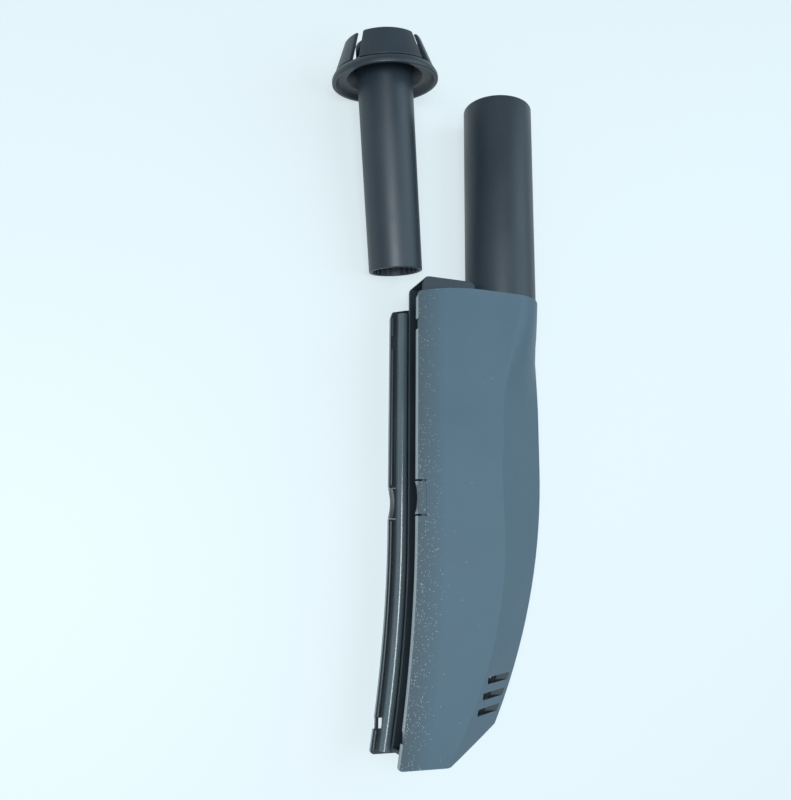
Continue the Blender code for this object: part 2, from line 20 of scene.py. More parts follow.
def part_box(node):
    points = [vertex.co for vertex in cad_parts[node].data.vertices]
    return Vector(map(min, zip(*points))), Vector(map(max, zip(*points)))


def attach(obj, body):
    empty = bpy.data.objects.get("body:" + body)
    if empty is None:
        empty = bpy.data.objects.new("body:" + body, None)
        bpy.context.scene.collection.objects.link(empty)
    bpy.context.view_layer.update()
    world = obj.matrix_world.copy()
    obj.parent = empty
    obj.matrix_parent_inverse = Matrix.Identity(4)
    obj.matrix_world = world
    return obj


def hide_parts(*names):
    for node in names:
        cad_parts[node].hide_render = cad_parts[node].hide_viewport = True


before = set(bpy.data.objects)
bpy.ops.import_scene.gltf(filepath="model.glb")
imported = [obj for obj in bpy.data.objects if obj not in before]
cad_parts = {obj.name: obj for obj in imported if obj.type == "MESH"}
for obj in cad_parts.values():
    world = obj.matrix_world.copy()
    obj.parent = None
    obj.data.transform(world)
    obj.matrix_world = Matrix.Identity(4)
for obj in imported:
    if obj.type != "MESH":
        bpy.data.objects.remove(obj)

LOG = logging.getLogger("nozzle")
MM = 0.001
TURN = 2 * math.pi

MERGE = 1e-6
CORNER_SHARE = 0.45
ROUND_PIECE = math.radians(50)
DOWEL_COUNT = 3

# The mouth's edge, in millimetres from the casing's zero: straight above the bend's start.
MOUTH_X = 0.9
BEND_START_Y = 110.0
BEND_RADIUS = 715 * MM

Profile = Sequence[tuple[float, float]]


class Side(Enum):
    """The two cheeks of the casing: the value is the sign of Z seen from the parting plane."""

    NEAR = 1
    FAR = -1


class Body(Enum):
    """The two main bodies; each tongue and petal rides on a body of its own name."""

    NOZZLE = "nozzle"
    ADAPTER = "adapter"


class Grain(Enum):
    """How a mould's surface was made: (grain size, depth, roughness spread), sizes in metres."""

    SPARKED = (0.42 * MM, 0.030 * MM, 0.08)
    SATIN = (0.30 * MM, 0.006 * MM, 0.07)
    POLISHED = (0.90 * MM, 0.003 * MM, 0.05)


# ---------------------------------------------------------------- nodes and finishes


def linear(colour: str) -> tuple[float, float, float, float]:
    """Turns an sRGB hex colour into linear values.

    Args:
        colour: Six hex digits, such as "54707c".

    Returns:
        Linear red, green and blue, and an alpha of one.
    """
    channels = [int(colour[i:i + 2], 16) / 255 for i in (0, 2, 4)]
    flat = [c / 12.92 if c <= 0.04045 else ((c + 0.055) / 1.055) ** 2.4 for c in channels]
    return (flat[0], flat[1], flat[2], 1.0)


def add_node(tree: bpy.types.NodeTree, kind: str, inputs: Optional[dict] = None,
             **settings: object) -> bpy.types.Node:
    """Adds one node, with its settings, its values and its links.

    Args:
        tree: The tree that gets the node.
        kind: The node's type name.
        inputs: For each input, by name or number, a value, or an output socket to link.
        settings: The node's own properties.

    Returns:
        The new node.
    """
    node = tree.nodes.new(kind)
    for name, value in settings.items():
        setattr(node, name, value)
    for key, value in (inputs or {}).items():
        if isinstance(value, bpy.types.NodeSocket):
            tree.links.new(value, node.inputs[key])
        else:
            node.inputs[key].default_value = value
    return node


@dataclass(frozen=True)
class MouthLine:
    """The bent line of a cheek's mouth edge, for the dust, wear and painted shade along it."""

    straight_x: float
    bend_start_y: float
    bend_radius: float

    def distance(self, tree: bpy.types.NodeTree, place: bpy.types.Node) -> bpy.types.NodeSocket:
        """Adds nodes for how far back a point lies from the mouth's edge, in metres.

        Args:
            tree: The material's node tree.
            place: A Separate XYZ node of the object coordinates.

        Returns:
            The distance as a socket.
        """
        run = add_node(tree, "ShaderNodeMath", {0: self.bend_start_y, 1: place.outputs["Y"]},
                       operation="SUBTRACT")
        run = add_node(tree, "ShaderNodeMath", {0: run.outputs[0], 1: 0.0}, operation="MAXIMUM")
        square = add_node(tree, "ShaderNodeMath", {0: run.outputs[0], 1: 2.0}, operation="POWER")
        # An arc leaves its tangent by the run squared over twice its radius.
        back = add_node(tree, "ShaderNodeMath",
                        {0: square.outputs[0], 1: 0.5 / self.bend_radius, 2: place.outputs["X"]},
                        operation="MULTIPLY_ADD")
        out = add_node(tree, "ShaderNodeMath", {0: back.outputs[0], 1: self.straight_x},
                       operation="SUBTRACT")
        return out.outputs[0]


@dataclass(frozen=True)
class DustAndShade:
    """Pale plastic dust and tiny knocks that gather along the mouth's edge, and a painted shade
    that darkens the cheek towards it.
    """

    line: MouthLine
    colour: str = "c8d3d5"
    # The next colour is a painted shade, laid darker towards the mouth's edge.
    painted_shade_colour: str = "2e3a40"
    cell: float = 0.68 * MM
    speck: float = 0.32
    speck_core: float = 0.4
    reach: float = 15.0 * MM
    full_reach: float = 1.5 * MM
    patch: float = 9 * MM
    edge: float = 0.7 * MM
    edge_wear: float = 0.55
    drag_above: float = 90 * MM
    drag_below: float = 40 * MM
    drag_range: tuple[float, float] = (0.25, 1.25)
    chance: float = 0.70
    strays: float = 0.002
    strength: float = 0.62
    # How strongly the painted shade darkens the cheek at the mouth's edge.
    painted_shade: float = 0.68


@dataclass(frozen=True)
class Finish:
    """One moulded plastic finish.

    The base tone drifts a little over tens of millimetres, as resin does, and the mould's grain
    and handling marks show in its bump and roughness.
    """

    name: str
    colour: str
    drift: str
    roughness: float
    grain: Grain
    drift_size: float = 45 * MM
    rub_size: float = 1.6 * MM
    refraction: float = 1.49
    sheen_scuffs: float = 0.05
    dust: Optional[DustAndShade] = None

    def build(self) -> bpy.types.Material:
        """Builds the node material.

        Returns:
            The material, read from Object coordinates.
        """
        size, depth, spread = self.grain.value
        material = bpy.data.materials.new(self.name)
        material.use_nodes = True
        tree = material.node_tree
        shader = tree.nodes["Principled BSDF"]
        shader.inputs["IOR"].default_value = self.refraction
        coords = add_node(tree, "ShaderNodeTexCoord").outputs["Object"]

        drift = add_node(tree, "ShaderNodeTexNoise",
                         {"Vector": coords, "Scale": 1 / self.drift_size, "Detail": 3.0})
        ramp = add_node(tree, "ShaderNodeMapRange",
                        {"Value": drift.outputs[0], "From Min": 0.35, "From Max": 0.68})
        colour = add_node(tree, "ShaderNodeMix", {0: ramp.outputs[0], 6: linear(self.colour),
                                                  7: linear(self.drift)}, data_type="RGBA")
        grain = add_node(tree, "ShaderNodeTexNoise",
                         {"Vector": coords, "Scale": 1 / size, "Detail": 2.0})
        tint = add_node(tree, "ShaderNodeMapRange",
                        {"Value": grain.outputs[0], "From Min": 0.3, "From Max": 0.7,
                         "To Min": 0.90, "To Max": 1.08})
        shaded = add_node(tree, "ShaderNodeMix",
                          {0: 1.0, 6: colour.outputs[2], 7: tint.outputs[0]},
                          data_type="RGBA", blend_type="MULTIPLY")
        base = shaded.outputs[2]

        # Long faint rubs run along the piece, where it was pushed into a hose or a case.
        stretch = add_node(tree, "ShaderNodeMapping", {"Vector": coords, "Scale": (1.0, 0.12, 1.0)})
        rubs = add_node(tree, "ShaderNodeTexNoise",
                        {"Vector": stretch.outputs[0], "Scale": 1 / self.rub_size, "Detail": 4.0,
                         "Roughness": 0.65})
        rub = add_node(tree, "ShaderNodeMapRange",
                       {"Value": rubs.outputs[0], "From Min": 0.52, "From Max": 0.75})
        wear = add_node(tree, "ShaderNodeMapRange",
                        {"Value": drift.outputs[0], "From Min": 0.3, "From Max": 0.7,
                         "To Min": self.roughness - spread, "To Max": self.roughness + spread})
        rough = add_node(tree, "ShaderNodeMath",
                         {0: rub.outputs[0], 1: self.sheen_scuffs, 2: wear.outputs[0]},
                         operation="MULTIPLY_ADD", use_clamp=True)

        if self.dust is not None:
            base = self.dusted_and_shaded(tree, coords, base)
        bump = add_node(tree, "ShaderNodeBump",
                        {"Height": grain.outputs[0], "Distance": depth, "Strength": 1.0})
        tree.links.new(base, shader.inputs["Base Color"])
        tree.links.new(rough.outputs[0], shader.inputs["Roughness"])
        tree.links.new(bump.outputs[0], shader.inputs["Normal"])
        return material

    def dusted_and_shaded(self, tree: bpy.types.NodeTree, coords: bpy.types.NodeSocket,
               base: bpy.types.NodeSocket) -> bpy.types.NodeSocket:
        """Lays the dust, the paler worn edge and a painted shade, darker towards the mouth's edge,
        over the base colour.

        Args:
            tree: The material's node tree.
            coords: Object coordinates.
            base: The colour so far.

        Returns:
            The colour with its dust and painted shade.
        """
        dust = self.dust
        place = add_node(tree, "ShaderNodeSeparateXYZ", {0: coords})
        distance = dust.line.distance(tree, place)
        near = add_node(tree, "ShaderNodeMapRange",
                        {"Value": distance, "From Min": dust.reach,
                         "From Max": dust.full_reach})
        cells = add_node(tree, "ShaderNodeTexVoronoi",
                         {"Vector": coords, "Scale": 1 / dust.cell, "Randomness": 1.0})
        pick = add_node(tree, "ShaderNodeSeparateColor", {0: cells.outputs["Color"]})
        patches = add_node(tree, "ShaderNodeTexNoise",
                           {"Vector": coords, "Scale": 1 / dust.patch, "Detail": 2.0})
        # The lower half of the mouth is dragged over floors, so it is knocked the most.
        dragged = add_node(tree, "ShaderNodeMapRange",
                           {"Value": place.outputs["Y"],
                            "From Min": dust.line.bend_start_y + dust.drag_above,
                            "From Max": dust.line.bend_start_y - dust.drag_below,
                            "To Min": dust.drag_range[0], "To Max": dust.drag_range[1]})
        chance = add_node(tree, "ShaderNodeMath", {0: near.outputs[0], 1: patches.outputs[0]},
                          operation="MULTIPLY")
        chance = add_node(tree, "ShaderNodeMath", {0: chance.outputs[0], 1: dragged.outputs[0]},
                          operation="MULTIPLY")
        limit = add_node(tree, "ShaderNodeMath",
                         {0: chance.outputs[0], 1: dust.chance, 2: dust.strays},
                         operation="MULTIPLY_ADD")
        kept = add_node(tree, "ShaderNodeMath", {0: pick.outputs[0], 1: limit.outputs[0]},
                        operation="LESS_THAN")
        dot = add_node(tree, "ShaderNodeMapRange",
                       {"Value": cells.outputs["Distance"], "From Min": dust.speck,
                        "From Max": dust.speck * dust.speck_core})
        speck = add_node(tree, "ShaderNodeMath", {0: dot.outputs[0], 1: kept.outputs[0]},
                         operation="MULTIPLY")
        worn = add_node(tree, "ShaderNodeMapRange",
                        {"Value": distance, "From Min": dust.edge, "From Max": 0.0,
                         "To Max": dust.edge_wear})
        cover = add_node(tree, "ShaderNodeMath", {0: speck.outputs[0], 1: worn.outputs[0]},
                         operation="MAXIMUM")
        soft = add_node(tree, "ShaderNodeMath", {0: cover.outputs[0], 1: dust.strength},
                        operation="MULTIPLY")
        # Painted shade: the base colour is darkened towards the mouth's edge, over the same reach
        # as the dust.
        painted_shade = add_node(tree, "ShaderNodeMath", {0: near.outputs[0], 1: dust.painted_shade},
                         operation="MULTIPLY")
        mouth_shade = add_node(tree, "ShaderNodeMix",
                          {0: painted_shade.outputs[0], 6: base, 7: linear(dust.painted_shade_colour)}, data_type="RGBA")
        mixed = add_node(tree, "ShaderNodeMix",
                         {0: soft.outputs[0], 6: mouth_shade.outputs[2], 7: linear(dust.colour)},
                         data_type="RGBA")
        return mixed.outputs[2]


# ---------------------------------------------------------------- mesh helpers


def mesh_object(name: str, mesh: bpy.types.Mesh, material: bpy.types.Material,
                smooth_angle: float = math.radians(30)) -> bpy.types.Object:
    """Links a mesh as a piece at the origin, smooth but for its sharp edges.

    Args:
        name: The piece's name.
        mesh: Its mesh, already in place.
        material: Its finish.
        smooth_angle: Edges sharper than this stay sharp.

    Returns:
        The new object.
    """
    obj = bpy.data.objects.new(name, mesh)
    bpy.context.scene.collection.objects.link(obj)
    mesh.materials.clear()
    mesh.materials.append(material)
    mesh.shade_smooth()
    mesh.set_sharp_from_angle(angle=smooth_angle)
    return obj


def finish_mesh(name: str, build: Callable[[bmesh.types.BMesh], None],
                place: Matrix) -> bpy.types.Mesh:
    """Makes a mesh from a builder, with doubles merged and its faces turned outwards.

    Args:
        name: The mesh's name.
        build: Fills a bmesh.
        place: Where the shape goes.

    Returns:
        The mesh, in place.
    """
    bm = bmesh.new()
    build(bm)
    bmesh.ops.remove_doubles(bm, verts=bm.verts, dist=MERGE)
    bm.transform(place)
    bmesh.ops.recalc_face_normals(bm, faces=bm.faces)
    mesh = bpy.data.meshes.new(name)
    bm.to_mesh(mesh)
    bm.free()
    return mesh


def turned(profile: Profile, start: float = 0.0, sweep: float = TURN,
           steps: int = 144) -> Callable[[bmesh.types.BMesh], None]:
    """A closed (radius, height) profile turned about Z.

    Args:
        profile: The section, as a closed loop.
        start: The angle that it starts from.
        sweep: How far it goes round.
        steps: How many steps that takes.

    Returns:
        A builder for finish_mesh.
    """
    whole = math.isclose(sweep, TURN)

    def build(bm: bmesh.types.BMesh) -> None:
        """Fills the bmesh with the turned shape."""
        angles = [start + sweep * i / steps for i in range(steps if whole else steps + 1)]
        rings = [[bm.verts.new((r * math.cos(a), r * math.sin(a), z)) for r, z in profile]
                 for a in angles]
        pairs = list(zip(rings, rings[1:])) + ([(rings[-1], rings[0])] if whole else [])
        for first, second in pairs:
            for i in range(len(first)):
                j = (i + 1) % len(first)
                bm.faces.new((first[i], first[j], second[j], second[i]))
        if not whole:
            bm.faces.new(rings[0])
            bm.faces.new(rings[-1])

    return build


def rounded(profile: Profile, radius: float, steps: int = 4) -> list[tuple[float, float]]:
    """A closed profile with every corner rounded.

    Args:
        profile: The corners in order.
        radius: The largest rounding, kept under half of each neighbouring side.
        steps: Points on each rounding, less one.

    Returns:
        The rounded loop.
    """
    out: list[tuple[float, float]] = []
    count = len(profile)
    for i, corner in enumerate(profile):
        here = Vector(corner)
        before, after = Vector(profile[i - 1]), Vector(profile[(i + 1) % count])
        reach_in = min(radius, (before - here).length * CORNER_SHARE)
        reach_out = min(radius, (after - here).length * CORNER_SHARE)
        first = here + (before - here).normalized() * reach_in
        last = here + (after - here).normalized() * reach_out
        for k in range(steps + 1):
            t = k / steps
            point = first * (1 - t) ** 2 + here * 2 * t * (1 - t) + last * t * t
            out.append((point.x, point.y))
    return out


def add_bevel(obj: bpy.types.Object, width: float, angle: float = math.radians(32)) -> None:
    """Rounds a piece's sharp edges a little, as a mould does, and weights its normals."""
    bevel = obj.modifiers.new("edge rounding", "BEVEL")
    bevel.width = width
    bevel.segments = 3
    bevel.limit_method = "ANGLE"
    bevel.angle_limit = angle
    bevel.harden_normals = False
    weighted = obj.modifiers.new("even shading", "WEIGHTED_NORMAL")
    weighted.keep_sharp = False


def baked(obj: bpy.types.Object) -> bpy.types.Object:
    """Turns an object's modifiers into a plain mesh, and removes them.

    Args:
        obj: The object with live modifiers.

    Returns:
        The same object with its result as its mesh.
    """
    graph = bpy.context.evaluated_depsgraph_get()
    mesh = bpy.data.meshes.new_from_object(obj.evaluated_get(graph), depsgraph=graph)
    obj.modifiers.clear()
    obj.data = mesh
    return obj


def set_inputs(modifier: bpy.types.NodesModifier, values: dict[str, float]) -> None:
    """Sets a Geometry Nodes modifier's named inputs, each by its socket's identifier.

    Args:
        modifier: The modifier, with its node group.
        values: The value for each input's name.
    """
    for item in modifier.node_group.interface.items_tree:
        if item.in_out == "INPUT" and item.name in values:
            modifier[item.identifier] = values[item.name]


def settle(obj: bpy.types.Object, body: str, slot: str, *nodes: str) -> None:
    """Rides a finished piece on its body and replaces its solids.

    Args:
        obj: The finished piece.
        body: The body's name.
        slot: The record's material slot; not used.
        nodes: The CAD nodes that it stands for.
    """
    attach(obj, body)
    if nodes:
        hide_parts(*nodes)
    LOG.info("%s rides on %s, %d faces", obj.name, body, len(obj.data.polygons))


# ---------------------------------------------------------------- geometry nodes


@dataclass
class Repeater:
    """A Geometry Nodes tree that repeats one small rib and gives it its material.

    The ribs stand on the points of the object's own mesh, turned to its "heading" attribute.
    """

    name: str
    rib: tuple[float, float, float]
    taper: float = 0.0
    seed: int = 7

    @property
    def inputs(self) -> dict[str, float]:
        """The tree's named inputs with their values."""
        return dict(zip(("Rib Width", "Rib Length", "Rib Height", "Variation"),
                        (*self.rib, self.taper)))

    def tree(self, material: bpy.types.Material) -> bpy.types.NodeTree:
        """Builds the tree.

        Args:
            material: What Set Material gives the ribs.

        Returns:
            The node group, with named inputs for the rib's sizes.
        """
        group = bpy.data.node_groups.new(self.name, "GeometryNodeTree")
        face = group.interface
        face.new_socket("Geometry", in_out="INPUT", socket_type="NodeSocketGeometry")
        for label, value in self.inputs.items():
            socket = face.new_socket(label, in_out="INPUT", socket_type="NodeSocketFloat")
            socket.default_value = value
        face.new_socket("Geometry", in_out="OUTPUT", socket_type="NodeSocketGeometry")
        given = add_node(group, "NodeGroupInput")
        size = add_node(group, "ShaderNodeCombineXYZ",
                        {0: given.outputs["Rib Width"], 1: given.outputs["Rib Length"],
                         2: given.outputs["Rib Height"]})
        rib = add_node(group, "GeometryNodeMeshCube",
                       {"Size": size.outputs[0], "Vertices X": 3, "Vertices Y": 3,
                        "Vertices Z": 2})
        heading = add_node(group, "GeometryNodeInputNamedAttribute", {"Name": "heading"},
                           data_type="FLOAT_VECTOR")
        turn = add_node(group, "FunctionNodeEulerToRotation",
                        {0: heading.outputs["Attribute"]})
        low = add_node(group, "ShaderNodeMath", {0: 1.0, 1: given.outputs["Variation"]},
                       operation="SUBTRACT")
        vary = add_node(group, "FunctionNodeRandomValue",
                        {2: low.outputs[0], 3: 1.0, "Seed": self.seed}, data_type="FLOAT")
        stretch = add_node(group, "ShaderNodeCombineXYZ", {0: 1.0, 1: vary.outputs[1], 2: 1.0})
        placed = add_node(group, "GeometryNodeInstanceOnPoints",
                          {"Points": given.outputs[0], "Instance": rib.outputs["Mesh"],
                           "Rotation": turn.outputs[0], "Scale": stretch.outputs[0]})
        real = add_node(group, "GeometryNodeRealizeInstances", {0: placed.outputs[0]})
        dressed = add_node(group, "GeometryNodeSetMaterial",
                           {"Geometry": real.outputs[0], "Material": material})
        add_node(group, "NodeGroupOutput", {0: dressed.outputs[0]})
        return group

    def make(self, places: Sequence[tuple[Vector, Vector]],
             material: bpy.types.Material) -> bpy.types.Object:
        """Repeats the rib and bakes the result.

        Args:
            places: For each rib, its centre and its Euler turn.
            material: The ribs' finish.

        Returns:
            The finished piece at the origin.
        """
        mesh = bpy.data.meshes.new(self.name)
        mesh.from_pydata([tuple(point) for point, _ in places], [], [])
        heading = mesh.attributes.new("heading", "FLOAT_VECTOR", "POINT")
        for i, (_, turn) in enumerate(places):
            heading.data[i].vector = turn
        obj = bpy.data.objects.new(self.name, mesh)
        bpy.context.scene.collection.objects.link(obj)
        modifier = obj.modifiers.new("repeat", "NODES")
        modifier.node_group = self.tree(material)
        set_inputs(modifier, self.inputs)
        baked(obj)
        return obj


@dataclass
class Sweep:
    """A Geometry Nodes tree that carries a D-shaped bead along a path of points."""

    name: str
    width: float
    height: float
    end_round: float
    sides: int = 28
    thinnest: float = 0.08

    @property
    def inputs(self) -> dict[str, float]:
        """The tree's named inputs with their values."""
        return {"Bead Width": self.width, "Bead Height": self.height}

    def tree(self, material: bpy.types.Material, up: float) -> bpy.types.NodeTree:
        """Builds the tree: mesh edges to a curve, a half-round profile, and a capped sweep.

        Args:
            material: What Set Material gives the bead.
            up: 1 where the bead's round side faces +Z, or -1.

        Returns:
            The node group.
        """
        group = bpy.data.node_groups.new(self.name, "GeometryNodeTree")
        face = group.interface
        face.new_socket("Geometry", in_out="INPUT", socket_type="NodeSocketGeometry")
        for label, value in self.inputs.items():
            socket = face.new_socket(label, in_out="INPUT", socket_type="NodeSocketFloat")
            socket.default_value = value
        face.new_socket("Geometry", in_out="OUTPUT", socket_type="NodeSocketGeometry")
        given = add_node(group, "NodeGroupInput")
        path = add_node(group, "GeometryNodeMeshToCurve", {0: given.outputs[0]})
        level = add_node(group, "GeometryNodeSetCurveNormal", {"Curve": path.outputs[0]},
                         mode="Z_UP")
        girth = add_node(group, "GeometryNodeInputNamedAttribute", {"Name": "girth"},
                         data_type="FLOAT")
        level = add_node(group, "GeometryNodeSetCurveRadius",
                         {"Curve": level.outputs[0], "Radius": girth.outputs["Attribute"]})
        arc = add_node(group, "GeometryNodeCurvePrimitiveCircle",
                       {"Resolution": self.sides, "Radius": 1.0})
        half = add_node(group, "ShaderNodeMath", {0: given.outputs["Bead Width"], 1: 0.5},
                        operation="MULTIPLY")
        scale = add_node(group, "ShaderNodeCombineXYZ",
                         {0: half.outputs[0], 1: given.outputs["Bead Height"], 2: 1.0})
        shaped = add_node(group, "GeometryNodeTransform",
                          {"Geometry": arc.outputs["Curve"], "Scale": scale.outputs[0]})
        # The lower half of the round is pressed flat, so that the bead sits on its cheek.
        spot = add_node(group, "GeometryNodeInputPosition")
        parts = add_node(group, "ShaderNodeSeparateXYZ", {0: spot.outputs[0]})
        lifted = add_node(group, "ShaderNodeMath", {0: parts.outputs["Y"], 1: up},
                          operation="MULTIPLY")
        flat = add_node(group, "ShaderNodeMath", {0: lifted.outputs[0], 1: 0.0},
                        operation="MAXIMUM")
        back = add_node(group, "ShaderNodeMath", {0: flat.outputs[0], 1: up},
                        operation="MULTIPLY")
        target = add_node(group, "ShaderNodeCombineXYZ",
                          {0: parts.outputs["X"], 1: back.outputs[0], 2: 0.0})
        pressed = add_node(group, "GeometryNodeSetPosition",
                           {"Geometry": shaped.outputs[0], "Position": target.outputs[0]})
        bead = add_node(group, "GeometryNodeCurveToMesh",
                        {"Curve": level.outputs[0], "Profile Curve": pressed.outputs[0],
                         "Fill Caps": True})
        dressed = add_node(group, "GeometryNodeSetMaterial",
                           {"Geometry": bead.outputs[0], "Material": material})
        real = add_node(group, "GeometryNodeRealizeInstances", {0: dressed.outputs[0]})
        add_node(group, "NodeGroupOutput", {0: real.outputs[0]})
        return group

    def make(self, path: Sequence[Vector], up: float,
             material: bpy.types.Material) -> bpy.types.Object:
        """Sweeps the bead and bakes it.

        Args:
            path: The points along the bead's foot.
            up: 1 where the bead's round side faces +Z, or -1.
            material: Its finish.

        Returns:
            The finished piece at the origin.
        """
        mesh = bpy.data.meshes.new(self.name)
        mesh.from_pydata([tuple(p) for p in path], [(i, i + 1) for i in range(len(path) - 1)], [])
        girth = mesh.attributes.new("girth", "FLOAT", "POINT")
        for i, point in enumerate(path):
            left = min((point - path[0]).length, (point - path[-1]).length)
            short = max(0.0, 1 - left / self.end_round)
            girth.data[i].value = max(self.thinnest, math.sqrt(1 - short * short))
        obj = bpy.data.objects.new(self.name, mesh)
        bpy.context.scene.collection.objects.link(obj)
        modifier = obj.modifiers.new("sweep", "NODES")
        modifier.node_group = self.tree(material, up)
        set_inputs(modifier, self.inputs)
        baked(obj)
        bm = bmesh.new()
        bm.from_mesh(obj.data)
        bmesh.ops.remove_doubles(bm, verts=bm.verts, dist=MERGE)
        bmesh.ops.recalc_face_normals(bm, faces=bm.faces)
        bm.to_mesh(obj.data)
        bm.free()
        obj.data.shade_smooth()
        obj.data.set_sharp_from_angle(angle=ROUND_PIECE)
        return obj


# ---------------------------------------------------------------- sub-assemblies


@dataclass
class Datum:
    """The casing's own zero: the straight mouth line, the casing's lower end and the surface."""

    neck_setback: float = 57.5 * MM
    zero: Vector = field(init=False)

    def __post_init__(self) -> None:
        """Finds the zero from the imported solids."""
        neck_low, neck_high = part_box("neck_tube")
        far_low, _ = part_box("far_shell")
        neck_x = (neck_low[0] + neck_high[0]) / 2
        self.zero = Vector((neck_x - self.neck_setback, far_low[1], far_low[2]))

    def at(self, x: float, y: float, z: float) -> Vector:
        """A point given in millimetres from the casing's zero, in the row's frame."""
        return self.zero + Vector((x, y, z)) * MM


@dataclass
class Casing:
    """The two half shells, with their tongues."""

    datum: Datum
    edge: float = 0.45 * MM
    tongue_edge: float = 0.15 * MM
    weld: float = 0.004 * MM
    flat_angle: float = math.radians(0.2)
    root_gap: float = 0.27 * MM
    root_band: float = 0.01 * MM
    inner_tilt: float = -0.35
    vent_count: int = 3
    vent_place: tuple[float, float] = (33.3 * MM, 20.6 * MM)
    vent_step: tuple[float, float] = (2.6 * MM, 7.25 * MM)
    vent_height: float = 3.3 * MM
    vent_margin: float = 0.3 * MM
    vent_slant: float = 1.2 * MM
    vent_floor_tilt: float = 0.985
    vent_wall_tilt: float = 0.3

    def refined(self, node: str, material: bpy.types.Material,
                shape: Optional[Callable[[bmesh.types.BMesh], None]] = None) -> bpy.types.Object:
        """A merged copy of a solid, with its flat faces whole again and its edges rounded.

        Args:
            node: The CAD node.
            material: Its finish.
            shape: A last change to the merged copy, before its edges are rounded.

        Returns:
            The finished piece.
        """
        bm = bmesh.new()
        bm.from_mesh(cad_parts[node].data)
        bmesh.ops.remove_doubles(bm, verts=bm.verts, dist=self.weld)
        if shape is not None:
            shape(bm)
        bmesh.ops.dissolve_limit(bm, angle_limit=self.flat_angle, verts=bm.verts,
                                 edges=bm.edges, use_dissolve_boundaries=False)
        mesh = bpy.data.meshes.new(f"{node}_skin")
        bm.to_mesh(mesh)
        bm.free()
        obj = mesh_object(f"{node}_skin", mesh, material)
        add_bevel(obj, self.edge)
        return baked(obj)

    def root_flush(self, bm: bmesh.types.BMesh) -> None:
        """Carries a tongue's root up to the cheek, where the plastic bends instead of hinging."""
        root = max(vertex.co.x for vertex in bm.verts)
        for vertex in bm.verts:
            if root - vertex.co.x < self.root_band:
                vertex.co.x += self.root_gap

    def in_vent(self, face: bpy.types.MeshPolygon, side: Side) -> bool:
        """Whether a face is the level floor or an upright wall of a bleed-air vent.

        Args:
            face: A face of a half shell.
            side: The shell's cheek.

        Returns:
            True for a vent's floor or wall.
        """
        tilt = face.normal.z * side.value
        x, y, _ = Vector(face.center) - self.datum.zero
        if face.normal.x > self.vent_wall_tilt:
            return False
        if not (tilt > self.vent_floor_tilt or abs(tilt) < self.vent_wall_tilt):
            return False
        for index in range(self.vent_count):
            left = self.vent_place[0] + index * self.vent_step[0]
            low = self.vent_place[1] + index * self.vent_step[1]
            high = self.vent_height + self.vent_slant
            if x > left - self.vent_margin and -self.vent_margin < y - low < high:
                return True
        return False

    def lined(self, obj: bpy.types.Object, side: Side, inside: bpy.types.Material) -> None:
        """Gives a half shell's inner faces the smoother finish of the mould's core."""
        obj.data.materials.append(inside)
        for face in obj.data.polygons:
            if face.normal.z * side.value < self.inner_tilt or self.in_vent(face, side):
                face.material_index = 1

    def build(self, material: bpy.types.Material, inside: bpy.types.Material) -> None:
        """Builds and dresses both cheeks' pieces."""
        for side in Side:
            label = side.name.lower()
            shell = self.refined(f"{label}_shell", material)
            self.lined(shell, side, inside)
            settle(shell, Body.NOZZLE.value, "casing", f"{label}_shell")
            fine = Casing(self.datum, edge=self.tongue_edge)
            tongue = fine.refined(f"{label}_tongue", material, self.root_flush)
            self.lined(tongue, side, inside)
            settle(tongue, f"{label}_tongue", "casing", f"{label}_tongue")


